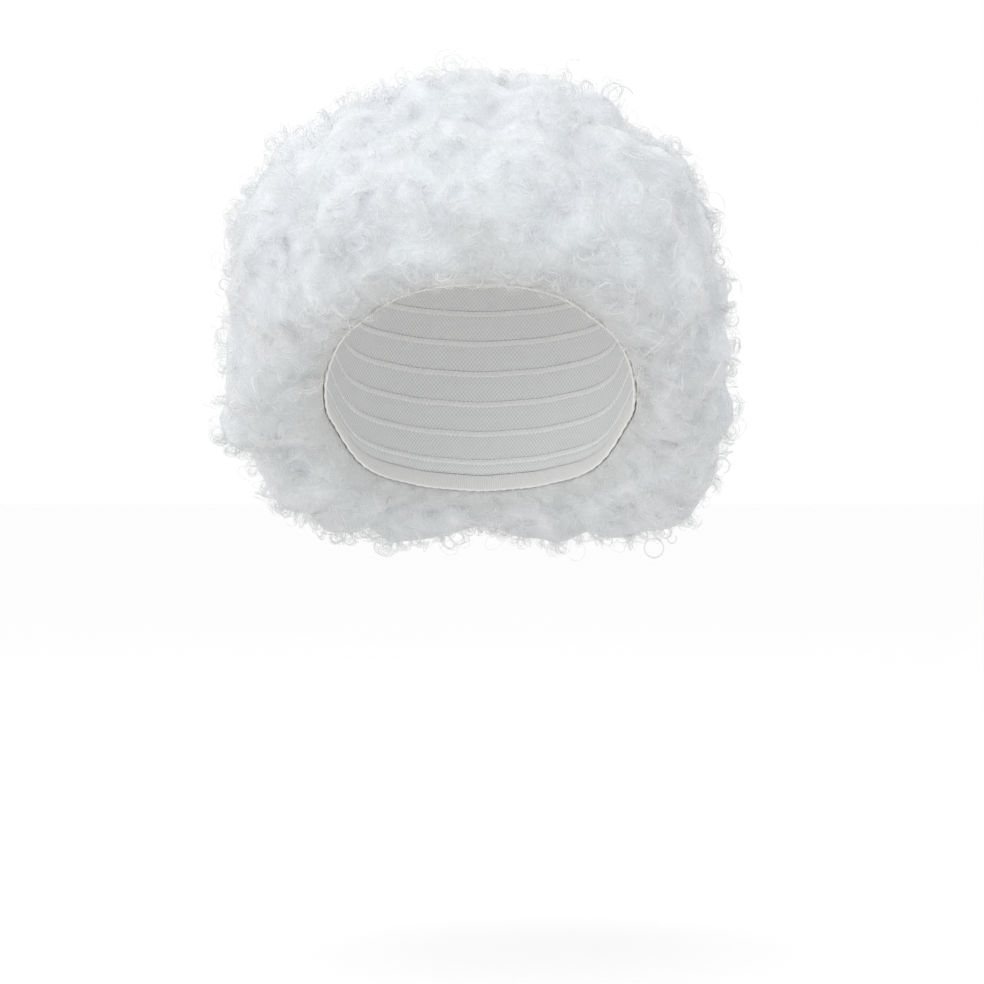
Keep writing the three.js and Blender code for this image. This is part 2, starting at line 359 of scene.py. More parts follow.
# soft lumps: sines along scattered directions, each octave half the size of the one before
def tuftNoise(points):
    rng = np.random.default_rng(hairMass["tuftSeed"])
    count = hairMass["waves"]
    total = np.zeros(len(points))
    for octave in range(hairMass["octaves"]):
        waves = unit(rng.normal(size=(count, 3))) * fullTurn / (hairMass["tuftSize"] * mm) * 2 ** octave
        lumps = np.sin(points @ waves.T + rng.uniform(0, fullTurn, count)).sum(axis=1)
        total += lumps / count / hairMass["octaveFall"] ** octave
    return total


# where the hair is greyer: thin and in painted shade along the rim, thin in a patch at a place across and
# up, in mm
thinHairAndRimShade = {
    "rimHeight": 3.0, "rimReach": 11.0, "patch": (0.0, -43.0), "patchSize": (13.0, 9.0), "patchShare": 0.85,
}


def nearRim(points):  # 1 at the hair's edge along the rim, falling off as a bell with the way from it
    azimuth, _, _, _ = formPlace(points)
    edge = onForm(azimuth, rimAngle(azimuth), thinHairAndRimShade["rimHeight"] * mm)
    return np.exp(-(np.linalg.norm(points - edge, axis=1) / (thinHairAndRimShade["rimReach"] * mm)) ** 2)


def thinnessAndRimShade(points):  # how thin the hair is, with painted shade along the rim: most at the rim, and in a soft oval patch in front
    away = (points[:, ::2] / mm - np.array(thinHairAndRimShade["patch"])) / np.array(thinHairAndRimShade["patchSize"])
    patch = thinHairAndRimShade["patchShare"] * np.exp(-(away ** 2).sum(axis=1)) * (points[:, 1] < 0)
    return np.maximum(nearRim(points), patch)


skinPoints, skinQuads, skinEdges = hairSkin()
skinNormals = cornerNormals(skinPoints, skinQuads)
_, _, skinHeight, skinUp = formPlace(skinPoints)
print("hair skin:", len(skinPoints), "corners")


def hairMassMaterial():
    look = {
        "cool": (0.83, 0.865, 0.89, 1), "lilac": (0.85, 0.86, 0.90, 1), "streakShade": (0.775, 0.808, 0.833, 1),
        "thinAndRimShade": (0.70, 0.715, 0.72, 1), "drift": 24.0, "driftLimits": (0.35, 0.65),
        "swirl": 42.0, "swirlDetail": 1.0, "warp": (0.06, 0.06, 0.06), "stretch": (1.0, 1.0, 0.16),
        "streak": 520.0, "streakShare": 0.7, "fluff": 420.0, "fluffShare": 0.3, "detail": 3.0,
        "limits": (0.3, 0.7),
        "bump": 0.7, "bumpDepth": 0.0016, "roughness": 0.7, "shine": 0.1, "glow": 0.75, "glowDepth": 0.006,
    }
    material, wire = newMaterial("curl_mass")
    spot = wire.make("ShaderNodeTexCoord", out="Object")
    warp = wire.noise(spot, look["swirl"], look["swirlDetail"], "Color")
    moved = {0: warp, 1: look["warp"], 2: spot}
    bent = wire.make("ShaderNodeVectorMath", {"operation": "MULTIPLY_ADD"}, moved)
    drawn = wire.make("ShaderNodeVectorMath", {"operation": "MULTIPLY"}, {0: bent, 1: look["stretch"]})
    streaks = wire.noise(drawn, look["streak"], look["detail"])  # drawn out along a field that swirls
    fluff = wire.noise(spot, look["fluff"], look["detail"])
    # the streaks and fluff darken the colour: the hair's streaky texture and painted shade between strands;
    # they also give the bump's height
    shade = streaks.between(*look["limits"]) * look["streakShare"]
    shade = shade + fluff.between(*look["limits"]) * look["fluffShare"]
    drift = wire.noise(spot, look["drift"]).between(*look["driftLimits"])
    tint = wire.mix(shade, look["streakShade"], wire.mix(drift, look["cool"], look["lilac"]))
    # greyer where the mask says: thin hair, and painted shade along the rim
    closeMaterial(wire, look, wire.mix(wire.stored("thinHairAndRimShade"), tint, look["thinAndRimShade"]), shade)
    return material


def keepOffCap(points, clear):  # points that come too near the cap are lifted clear along the form's normal
    azimuth, fromCrown, height, up = formPlace(points)
    short = np.where(fromCrown < rimAngle(azimuth) + pastRim, np.maximum(clear - height, 0), 0)
    return points + up * short[..., None]


# the skin drawn in towards the cap and raised in small tufts, then smoothed, but left where it is at the rim
def makeHairMass():
    room = np.maximum(skinHeight - hairMass["capRoom"] * mm, 0)
    sink = np.minimum((hairMass["sink"] + hairMass["overlap"]) * mm, hairMass["sinkShare"] * room)
    lift = tuftNoise(skinPoints) * np.minimum(hairMass["tufts"] * mm, hairMass["tuftShare"] * room)
    points = skinPoints - skinNormals * (sink - lift)[:, None]
    for _ in range(hairMass["settle"]):  # fills the creases outwards and leaves most of each tuft standing
        move = neighbourMean(points, skinEdges) - points
        inward = np.minimum((move * skinNormals).sum(axis=1, keepdims=True), 0)
        points = points + hairMass["step"] * (move - hairMass["standing"] * inward * skinNormals)
    atRim = nearRim(skinPoints)[:, None]
    points = keepOffCap(points * (1 - atRim) + skinPoints * atRim, hairMass["offCap"] * mm)
    piece = makePiece("curl_mass", points, skinQuads, [], hairMassMaterial())
    # the greyer mask: thin hair, with painted shade under the overhanging hair along the rim
    setTone(piece, "thinHairAndRimShade", thinnessAndRimShade(points))
    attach(piece, "root")


makeHairMass()
print("hair mass:", len(skinQuads) * 2, "triangles")


# the curls: strands in tufts and singly; lengths and half widths in mm, row ends in shares of the way
# from the crown to the rim
curls = {
    "seed": 41, "tufts": 1180, "perTuft": 7, "singles": 3300,
    "leastHeight": 3.2, "leastOutward": -0.75, "underside": 1.3, "fullAt": 13.0, "least": 0.65,
    "radius": (4.2, 0.9), "radiusLimits": (2.6, 6.6), "tuftWidth": 0.8, "sink": 1.6, "offCap": 2.6,
    "fine": (0.085, 0.14), "thick": (0.17, 0.24), "thickShare": 0.3, "toneCurve": 1.5, "toneStray": 0.08,
    "rowEnds": (0.22, 0.42, 0.62, 0.82),
    "tuftShape": {
        "rings": 11, "turns": (0.35, 0.95), "rise": (1.0, 5.0), "lean": (0.55, 1.5),
        "sink": 1.5, "wander": 0.9, "stray": 0.35,
    },
    "singleShape": {
        "rings": 11, "turns": (0.3, 0.75), "rise": (2.0, 6.0), "lean": (0.6, 1.5),
        "sink": 1.5, "wander": 0.8, "stray": 0.0,
    },
}
# how a coil strays, how it swells from its ends, how far its middle stands off the root, and its slow bends
coil = {
    "tiltStray": 0.3, "sizeStray": 0.4, "startStray": 0.7, "turnStray": 0.4, "phaseStray": 1.0,
    "ends": 0.62, "swell": 0.38, "swellRate": 1.15, "standOff": 0.45, "bends": (1, 2),
}
# a strand's width at its tips and what its middle adds, and how it fills its cell in the bake map
strand = {"tips": 0.4, "middle": 0.6, "fullness": 0.5, "cellMargin": 0.1, "cellFill": 0.8}
strandSides = 3  # one triangle then closes each end


# random places on the skin, evenly by area, with the skin's normal there
def scatter(count, rng, keep):
    a, b, c, d = (skinPoints[skinQuads[:, k]] for k in range(4))
    area = np.linalg.norm(np.cross(c - a, d - b), axis=1) / 2 * keep
    reach = np.cumsum(area)
    picks = np.searchsorted(reach, (np.arange(count) + rng.uniform(0, 1, count)) / count * reach[-1])
    picks = np.minimum(picks, len(skinQuads) - 1)
    u, v = rng.uniform(0, 1, (2, count, 1))
    places = (a[picks] * (1 - u) + b[picks] * u) * (1 - v) + (d[picks] * (1 - u) + c[picks] * u) * v
    normals = unit(skinNormals[skinQuads[picks]].mean(axis=1))
    return places, normals


# a coil about a leaning axis: radius and rise along it, with a slow wander, from root to tip;
# the strands of one tuft share all of these and stray a little from them
def coilPaths(roots, normals, rng, shape, radius, tuft):
    count, groups, stray = len(roots), tuft.max() + 1, shape["stray"]
    sideways = unit(np.cross(normals, unit(rng.normal(size=(groups, 3)))[tuft]))
    across = np.cross(normals, sideways)
    tilt = rng.uniform(*shape["lean"], (groups, 1))[tuft]
    tilt = tilt + stray * rng.normal(0, coil["tiltStray"], (count, 1))
    axis = np.cos(tilt) * normals + np.sin(tilt) * sideways
    inward = np.cos(tilt) * sideways - np.sin(tilt) * normals
    size = radius[:, None] * (1 + stray * rng.normal(0, coil["sizeStray"], (count, 1)))
    share = np.linspace(0, 1, shape["rings"])[None, :]
    start = rng.normal(0, coil["startStray"], (groups, 1))[tuft]
    start = start + stray * rng.normal(0, coil["startStray"], (count, 1))
    turns = rng.uniform(*shape["turns"], (groups, 1))[tuft]
    turns = turns * (1 + stray * rng.normal(0, coil["turnStray"], (count, 1)))
    spin = np.sign(rng.uniform(-1, 1, (groups, 1)))[tuft]
    turned = (start + spin * fullTurn * turns * share)[..., None]
    fullness = np.sin(math.pi * np.clip(share * coil["swellRate"], 0, 1))
    swell = size * (coil["ends"] + coil["swell"] * fullness)
    climb = (rng.uniform(*shape["rise"], (groups, 1))[tuft] * turns * share - shape["sink"]) * mm
    base = roots + normals * (coil["standOff"] * size * np.sin(tilt))
    paths = base[:, None] + axis[:, None] * climb[..., None]
    paths = paths + swell[..., None] * (np.cos(turned) * inward[:, None] + np.sin(turned) * across[:, None])
    for order in coil["bends"]:
        phase = rng.uniform(0, fullTurn, (groups, 1, 3))[tuft]
        phase = phase + stray * rng.normal(0, coil["phaseStray"], (count, 1, 3))
        push = rng.normal(size=(groups, 1, 3))[tuft] * shape["wander"] * mm / order
        paths = paths + push * np.sin(math.pi * order * share[..., None] + phase)
    return paths, axis


# three-sided tubes along the paths, closed by a triangle at each end
def tubes(paths, widths, guides):
    along = unit(np.gradient(paths, axis=1))
    side = unit(np.cross(along, guides[:, None]))
    other = np.cross(along, side)
    angles = np.arange(strandSides)[:, None] * fullTurn / strandSides
    spread = np.cos(angles) * side[:, :, None] + np.sin(angles) * other[:, :, None]
    points = paths[:, :, None] + widths[:, :, None, None] * spread
    index = np.arange(points.size // 3).reshape(points.shape[:3])
    after = np.roll(index, -1, axis=2)
    quads = np.stack([index[:, :-1], after[:, :-1], after[:, 1:], index[:, 1:]], axis=-1)
    ends = np.concatenate([index[:, 0, ::-1], index[:, -1]])
    return points.reshape(-1, 3), quads.reshape(-1, 4), ends


# a bake map with a small cell for each strand: round it one way, along it the other
def strandCells(count, rings):
    columns = int(math.ceil(math.sqrt(count)))
    rows = int(math.ceil(count / columns))
    which = np.arange(count)[:, None, None]
    margin, fill = strand["cellMargin"], strand["cellFill"]
    u = (which % columns + margin + fill * np.arange(strandSides) / strandSides) / columns
    v = (which // columns + margin + fill * np.linspace(0, 1, rings)[:, None]) / rows
    return np.stack(np.broadcast_arrays(u, v), axis=-1).reshape(-1, 2)


def taper(widths, rings):  # full in the middle of the strand and finer at its ends
    along = np.sin(math.pi * np.linspace(0, 1, rings)) ** strand["fullness"]
    return widths[:, None] * (strand["tips"] + strand["middle"] * along)


def curlMaterial():
    look = {
        "cool": (0.84, 0.875, 0.90, 1), "lilac": (0.86, 0.87, 0.905, 1), "bright": (0.94, 0.953, 0.966, 1),
        "thinAndRimShade": (0.76, 0.78, 0.785, 1), "drift": 22.0, "driftLimits": (0.35, 0.65),
        "fibres": 1500.0, "detail": 1.0,
        "bump": 0.2, "bumpDepth": 0.0002, "roughness": 0.6, "shine": 0.1, "glow": 0.7, "glowDepth": 0.0006,
    }
    material, wire = newMaterial("curl_fibre")
    spot = wire.make("ShaderNodeTexCoord", out="Object")
    drift = wire.noise(spot, look["drift"]).between(*look["driftLimits"])
    # greyer near the rim: thin hair, and painted shade under the overhanging hair
    tint = wire.mix(wire.stored("thinHairAndRimShade"), wire.mix(drift, look["cool"], look["lilac"]), look["thinAndRimShade"])
    colour = wire.mix(wire.stored("curlTone"), tint, look["bright"])
    closeMaterial(wire, look, colour, wire.noise(spot, look["fibres"], look["detail"]))
    return material


# all the strands of one piece, with a tone for each and a cell for each in the bake map
def strandPiece(name, paths, widths, guides, tone):
    count, rings = paths.shape[:2]
    points, quads, ends = tubes(paths, taper(widths, rings), guides)
    piece = makePiece(name, points, quads, ends, fibre)
    setTone(piece, "curlTone", np.repeat(tone, rings * strandSides))
    # the same greyer mask for the strands, from their roots: thin hair, with painted shade along the rim
    setTone(piece, "thinHairAndRimShade", np.repeat(thinnessAndRimShade(paths[:, 0]), rings * strandSides))
    setPattern(piece, "OFBake", strandCells(count, rings))
    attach(piece, "root")
    print("strands:", name, count, "of them,", len(quads) * 2 + len(ends), "triangles")
    return piece


def curlGrowth():  # how densely each face carries curls: none by the cap or inside it, more under the hem
    faceHeight = skinHeight[skinQuads].mean(axis=1)
    outward = (skinNormals * skinUp).sum(axis=1)[skinQuads].mean(axis=1)
    below = np.clip(-skinNormals[:, 2], 0, 1)[skinQuads].mean(axis=1)
    grows = (faceHeight > curls["leastHeight"] * mm) & (outward > curls["leastOutward"])
    return grows * (1 + curls["underside"] * below)


# so many groups of curls with so many strands in each: smaller where the hair is short, rooted in the mass
def curlGroups(rng, groups, each, shape, keep):
    places, normals = scatter(groups, rng, keep)
    tuft = np.repeat(np.arange(groups), each)
    _, _, height, _ = formPlace(places)
    short = np.clip(height / (curls["fullAt"] * mm), curls["least"], 1)[tuft]
    radius = np.clip(rng.normal(*curls["radius"], groups), *curls["radiusLimits"])[tuft] * short * mm
    spread = rng.normal(0, curls["tuftWidth"] * mm, (len(tuft), 3)) * (each > 1)
    roots = places[tuft] + spread - normals[tuft] * (curls["sink"] * short * mm)[:, None]
    paths, axis = coilPaths(roots, normals[tuft], rng, shape, radius, tuft)
    tone = rng.uniform(0, 1, groups)[tuft] ** curls["toneCurve"]
    tone = np.clip(tone + rng.normal(0, curls["toneStray"], len(tuft)), 0, 1)
    return paths, axis, roots, tone


def makeCurls():  # the strands by rows from the crown down, each row but the first in two halves
    rng = np.random.default_rng(curls["seed"])
    keep = curlGrowth()
    tufted = curlGroups(rng, curls["tufts"], curls["perTuft"], curls["tuftShape"], keep)
    single = curlGroups(rng, curls["singles"], 1, curls["singleShape"], keep)
    paths, axis, roots, tone = (np.concatenate(both) for both in zip(tufted, single))
    paths = keepOffCap(paths, curls["offCap"] * mm)
    count = len(paths)
    thick = rng.uniform(0, 1, count) < curls["thickShare"]
    widths = np.where(thick, rng.uniform(*curls["thick"], count), rng.uniform(*curls["fine"], count)) * mm
    azimuth, fromCrown, _, _ = formPlace(roots)
    row = np.searchsorted(curls["rowEnds"], fromCrown / rimAngle(azimuth))
    left = roots[:, 0] > 0
    for number, node in enumerate(hairRows):
        for half in (("",) if number == 0 else ("_left", "_right")):
            chosen = (row == number) & ((half == "") | (left == (half == "_left")))
            name = "curls_" + node + half
            piece = strandPiece(name, paths[chosen], widths[chosen], axis[chosen], tone[chosen])
            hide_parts(node)


fibre = curlMaterial()
makeCurls()


# loose hairs: fine loops all over, single loops at places on the outline and along the rim, wisps in front
# at the brightest tone as painted highlights, and small curls along the cap's edge; lengths and half widths
# in mm
looseHairs = {
    "seed": 77, "rings": 20, "offCap": 1.9,
    "fly": {
        "count": 200, "leastHeight": 12.0, "radius": (4.2, 1.4), "radiusLimits": (2.0, 8.0), "lift": 2.0,
        "width": (0.09, 0.15),
        "shape": {
            "rings": 20, "turns": (0.5, 1.2), "rise": (2.0, 6.0), "lean": (0.3, 1.4),
            "sink": 3.0, "wander": 1.2, "stray": 0.0,
        },
    },
    "outline": {
        "width": (0.4, 0.55), "edgeOn": 0.35, "depth": 4.0,
        "loops": [  # across, up, radius, turns
            (87.0, -189.0, 5.0, 1.15), (93.0, -181.5, 2.6, 1.0), (96.0, -184.5, 2.4, 0.9),
            (121.5, -131.0, 3.4, 0.8), (121.0, -148.0, 3.8, 0.7), (70.5, 35.0, 6.5, 0.45),
            (-127.5, -57.0, 3.0, 0.9), (-105.0, -159.0, 4.8, 1.1), (-97.0, -171.0, 2.6, 1.0),
            (47.0, 52.0, 3.6, 0.6), (40.0, 51.0, 4.2, 0.35), (-38.0, 47.0, 4.0, 0.5),
            (-122.0, -118.0, 3.0, 0.8), (126.0, -75.0, 3.4, 0.7),
        ],
    },
    "rim": {
        "width": (0.17, 0.24), "reach": 100.0, "spots": 401, "height": 4.5, "depth": 5.0, "above": 0.05,
        "loops": [  # across, up, radius, turns
            (-55.5, -71.0, 4.8, 1.1), (-56.5, -71.5, 3.6, 0.9), (-47.0, -68.5, 2.2, 0.8),
            (-62.5, -76.5, 3.2, 0.6), (56.0, -71.5, 2.6, 1.1), (55.0, -72.0, 3.8, 0.7),
            (65.0, -79.5, 2.4, 0.8), (38.0, -63.5, 2.2, 0.9), (32.0, -61.5, 2.4, 0.8),
            (45.0, -66.0, 2.0, 1.0), (70.0, -88.0, 2.0, 1.0), (72.0, -94.0, 2.2, 0.9),
            (73.5, -101.0, 2.4, 0.8), (-23.0, -58.5, 2.0, 0.7), (2.0, -57.0, 1.8, 0.6),
            (18.0, -58.5, 2.0, 0.7),
        ],
    },
    "bright": {
        "width": (0.13, 0.2), "each": 7, "facing": -0.15, "halfLength": 4.5, "lengthStray": (0.7, 1.2),
        "wayStray": 9.0, "sideStray": 0.8, "endStray": 1.5, "bend": (0.35, 0.12), "rise": 2.6, "dip": 4.2,
        "wisps": [  # across, up, and the way it runs, in degrees from across
            (-75.0, -4.0, 150.0), (-60.0, -14.5, 100.0), (2.0, -14.5, 80.0), (-30.5, -43.0, 50.0),
            (-84.5, -75.5, 65.0), (-104.5, -86.0, 95.0), (-96.0, -81.5, 130.0), (-97.5, -48.5, 70.0),
            (-98.5, -36.0, 110.0), (-67.5, -46.0, 60.0), (-42.5, -3.5, 75.0), (-27.5, -18.5, 120.0),
            (121.5, -68.5, 95.0), (113.0, -100.0, 140.0), (101.0, -88.0, 100.0), (109.0, -93.5, 150.0),
            (88.0, -76.0, 85.0), (60.0, -30.0, 60.0), (35.0, -40.0, 115.0),
        ],
    },
    "wisps": {
        "width": (0.07, 0.13), "count": 130, "spread": 78.0, "heights": (2.6, 5.0), "radius": (2.2, 0.8),
        "out": (0.35, 0.9), "down": (0.5, 1.0),
    },
    "fringe": {
        "width": (0.09, 0.15), "count": 420, "spread": 180.0, "heights": (2.6, 4.0), "radius": (1.7, 0.4),
        "out": (0.7, 1.0), "down": (0.0, 0.5),
    },
}
# a loop's bow towards the viewer, the share of it that leads out of the hair, and the guide for its tube
loop = {"bow": 0.35, "lead": 0.2, "guide": (0.05, 1.0, 0.08)}
# curls along the cap's edge: the angle above it where they root, their sizes, a point in the form that gives
# the way out, and a step that gives the way down
edgeCurl = {
    "above": 0.03, "radiusLimits": (1.0, 4.2), "inForm": -30.0, "downFrom": 3.0, "downBy": 0.02,
    "shape": {
        "rings": 20, "turns": (0.5, 1.2), "rise": (2.0, 6.0), "lean": (0.0, 0.9),
        "sink": 1.0, "wander": 0.5, "stray": 0.0,
    },
}


# places across and up as the camera sees them in the plane y = 0: the nearest spot to each, and the point
# at that spot's own distance from the camera
def seenAt(target, spots):
    eye = np.array(view["at"])
    nearer = (spots[:, 1] - eye[1]) / -eye[1]
    seen = eye[::2] + (spots[:, ::2] - eye[::2]) / nearer[:, None]
    nearest = np.linalg.norm(seen[None] - target[:, None], axis=-1).argmin(axis=1)
    across = eye[::2] + (target - eye[::2]) * nearer[nearest][:, None]
    return nearest, np.stack([across[:, 0], spots[nearest, 1], across[:, 1]], axis=-1)


# a ring that faces the front, its centre where the table says, carried by the nearest of the spots given,
# with its start led into the hair there by a depth
def frontLoops(rng, kind, spots, outward):
    table = np.array(kind["loops"])
    nearest, centre = seenAt(table[:, :2] * mm, spots)
    carrier = spots[nearest]
    radius = table[:, 2:3] * mm
    home = unit(carrier - centre)
    beside = np.cross(home, alongView) * np.sign(rng.uniform(-1, 1, (len(table), 1)))
    bow = rng.uniform(-loop["bow"], loop["bow"], (len(table), 1)) * alongView
    share = np.linspace(0, 1, looseHairs["rings"])[None, :, None]
    turned = fullTurn * table[:, 3][:, None, None] * np.clip(share * (1 + loop["lead"]) - loop["lead"], 0, 1)
    ring = np.cos(turned) * home[:, None] + np.sin(turned) * beside[:, None]
    start = np.clip(1 - share / loop["lead"], 0, 1)
    sunk = carrier - outward[nearest] * kind["depth"] * mm
    paths = (centre[:, None] + radius[:, None] * ring) * (1 - start) + sunk[:, None] * start
    paths = paths + bow[:, None] * radius[:, None] * np.sin(math.pi * share)
    return paths, np.broadcast_to(np.array(loop["guide"]), carrier.shape)


def outlineLoops(rng, kind):  # carried by the skin that is seen edge-on from the front
    edgeOn = np.abs(skinNormals[:, 1]) < kind["edgeOn"]
    return frontLoops(rng, kind, skinPoints[edgeOn], skinNormals[edgeOn])


def rimLoops(rng, kind):  # carried by the lower edge of the hair along the band, and led up into the hair
    azimuth = np.radians(np.linspace(-kind["reach"], kind["reach"], kind["spots"]))
    edge = onForm(azimuth, rimAngle(azimuth), kind["height"] * mm)
    above = onForm(azimuth, rimAngle(azimuth) - kind["above"], kind["height"] * mm)
    return frontLoops(rng, kind, edge, unit(edge - above))


# short arcs of strands side by side on the front of the hair, bowed out of it; their brightest tone is a
# painted highlight
def glintWisps(rng, kind):
    table = np.array(kind["wisps"])
    facing = skinNormals[:, 1] < kind["facing"]
    nearest, _ = seenAt(table[:, :2] * mm, skinPoints[facing])
    wisp = np.repeat(np.arange(len(table)), kind["each"])
    roots, outward = skinPoints[facing][nearest][wisp], skinNormals[facing][nearest][wisp]
    way = np.radians(table[wisp, 2:3] + rng.normal(0, kind["wayStray"], (len(wisp), 1)))
    along = np.concatenate([np.cos(way), np.zeros_like(way), np.sin(way)], axis=1)
    along = unit(along - outward * (along * outward).sum(axis=1, keepdims=True))
    beside = np.cross(outward, along)
    roots = roots + beside * rng.normal(0, kind["sideStray"] * mm, (len(wisp), 1))
    roots = roots + along * rng.normal(0, kind["endStray"] * mm, (len(wisp), 1))
    share = np.linspace(-1, 1, looseHairs["rings"])[None, :, None]
    bend = rng.normal(*kind["bend"], (len(table), 1, 1))[wisp]
    bend = bend * np.sign(rng.uniform(-1, 1, (len(table), 1, 1)))[wisp]
    length = kind["halfLength"] * mm * rng.uniform(*kind["lengthStray"], (len(wisp), 1, 1))
    paths = roots[:, None] + length * (share * along[:, None] + bend * share ** 2 * beside[:, None])
    paths = paths + outward[:, None] * (kind["rise"] - kind["dip"] * share ** 2) * mm
    return paths, outward


# fine curls that start along the cap's edge, between two heights over the cap, and lean out and down over it
def edgeCurls(rng, kind):
    count = kind["count"]
    azimuth = np.radians(rng.uniform(-kind["spread"], kind["spread"], count))
    fromCrown = rimAngle(azimuth) - rng.uniform(0, edgeCurl["above"], count)
    roots = onForm(azimuth, fromCrown, rng.uniform(*kind["heights"], count) * mm)
    outward = unit(roots - onForm(azimuth, fromCrown, edgeCurl["inForm"] * mm))
    upper = onForm(azimuth, fromCrown, edgeCurl["downFrom"] * mm)
    downward = unit(onForm(azimuth, fromCrown + edgeCurl["downBy"], edgeCurl["downFrom"] * mm) - upper)
    way = outward * rng.uniform(*kind["out"], (count, 1))
    way = unit(way + downward * rng.uniform(*kind["down"], (count, 1)))
    size = np.clip(rng.normal(*kind["radius"], count), *edgeCurl["radiusLimits"]) * mm
    return coilPaths(roots, way, rng, edgeCurl["shape"], size, np.arange(count))


def flyHairs(rng, kind):  # fine coils on the skin where the hair is deep, lifted a little off it
    count = kind["count"]
    keep = skinHeight[skinQuads].mean(axis=1) > kind["leastHeight"] * mm
    roots, normals = scatter(count, rng, keep)
    radius = np.clip(rng.normal(*kind["radius"], count), *kind["radiusLimits"]) * mm
    lifted = roots + normals * kind["lift"] * mm
    return coilPaths(lifted, normals, rng, kind["shape"], radius, np.arange(count))


def makeLooseHairs():
    rng = np.random.default_rng(looseHairs["seed"])
    makers = {
        "fly": flyHairs, "outline": outlineLoops, "rim": rimLoops, "bright": glintWisps,
        "wisps": edgeCurls, "fringe": edgeCurls,
    }
    made = {name: maker(rng, looseHairs[name]) for name, maker in makers.items()}
    counts = [len(paths) for paths, _ in made.values()]
    paths = keepOffCap(np.concatenate([paths for paths, _ in made.values()]), looseHairs["offCap"] * mm)
    guides = np.concatenate([guides for _, guides in made.values()])
    widths = [rng.uniform(*looseHairs[name]["width"], count) for name, count in zip(made, counts)]
    tone = rng.uniform(0, 1, len(paths))
    # the wisps in front take the brightest tone: painted highlights
    tone[np.repeat([name == "bright" for name in made], counts)] = 1.0
    strandPiece("loose_hairs", paths, np.concatenate(widths) * mm, guides, tone)


makeLooseHairs()


# the cap's wall between two heights over the form; its cloth runs at so many mm a radian, round and down
cap = {
    "steps": 96, "rows": 44, "inner": 0.7, "outer": 1.6, "bandWidth": 10.0,
    "clothRound": 88.0, "clothDown": 99.0,
}


def netAngle(azimuth):  # where the net ends and the band begins, measured from the crown
    return rimAngle(azimuth) - cap["bandWidth"] * mm * anglePerMetre


def netMaterial():
    look = {
        "cell": 2.4, "limits": (0.05, 0.5),
        "holeShade": (0.70, 0.715, 0.73, 1), "thread": (0.88, 0.885, 0.885, 1),
        "bump": 0.6, "bumpDepth": 0.0004, "roughness": 0.85, "shine": 0.2,
    }
    material, wire = newMaterial("stretch_net")
    spot = wire.make("ShaderNodeUVMap", {"uv_map": "netCloth"})
    across, down = spot.axis("X"), spot.axis("Y")
    first = ((across + down) * (math.pi / look["cell"])).sine().absolute()
    second = ((across - down) * (math.pi / look["cell"])).sine().absolute()
    thread = 1 - (first * second).between(*look["limits"])
    # the holes are darker: painted shade from the hair behind the net
    closeMaterial(wire, look, wire.mix(thread, look["holeShade"], look["thread"]), thread)
    return material


# the net cap: rings down the inside from the crown to the band, then back up the outside
def makeCap():
    azimuth = np.linspace(0, fullTurn, cap["steps"], endpoint=False)
    fromCrown = np.linspace(0, 1, cap["rows"] + 1)[1:, None] * netAngle(azimuth)
    inside = onForm(azimuth, fromCrown, cap["inner"] * mm)
    outside = onForm(azimuth, fromCrown, cap["outer"] * mm)
    rings = np.concatenate([inside, outside[::-1]])
    poles = onForm(np.zeros(2), np.zeros(2), np.array([cap["inner"], cap["outer"]]) * mm)
    points = np.concatenate([rings.reshape(-1, 3), poles])
    first = np.arange(cap["steps"])
    start = fanFaces(first, len(points) - 2)[:, [1, 0, 2]]
    end = fanFaces(first + (len(rings) - 1) * cap["steps"], len(points) - 1)
    quads = ringFaces(len(rings), cap["steps"])
    piece = makePiece("net_cap", points, quads, np.concatenate([start, end]), netMaterial())
    down = np.concatenate([fromCrown, fromCrown[::-1]]) * cap["clothDown"]
    around = np.broadcast_to(azimuth * cap["clothRound"], down.shape)
    cloth = np.stack([around, down], axis=-1).reshape(-1, 2)
    setPattern(piece, "netCloth", np.concatenate([cloth, np.zeros((2, 2))]))
    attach(piece, "root")
    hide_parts("wig_cap")


# the elastic: its wall, the seam left to the net, how round its edges and faces are, its gathers, and the
# knit's mm a radian
band = {
    "steps": 432, "sides": 16, "wall": 1.8, "seam": 0.4, "edgeRound": 0.4, "faceRound": 0.6, "fill": 0.9,
    "gather": 0.25, "gathers": 86, "innerGather": 0.2, "knitRound": 86.0, "knitDown": 99.0,
}


def bandMaterial():
    look = {
        "rib": 1.3, "limits": (-1, 0.6), "grooveShade": (0.76, 0.765, 0.77, 1), "ridge": (0.89, 0.89, 0.885, 1),
        "bump": 0.5, "bumpDepth": 0.0003, "roughness": 0.75, "shine": 0.25,
    }
    material, wire = newMaterial("knit_elastic")
    spot = wire.make("ShaderNodeUVMap", {"uv_map": "bandKnit"})
    ribs = (spot.axis("X") * (fullTurn / look["rib"])).sine()
    # the grooves between the ribs are darker: painted shade
    closeMaterial(wire, look, wire.mix(ribs.between(*look["limits"]), look["grooveShade"], look["ridge"]), ribs)
    return material


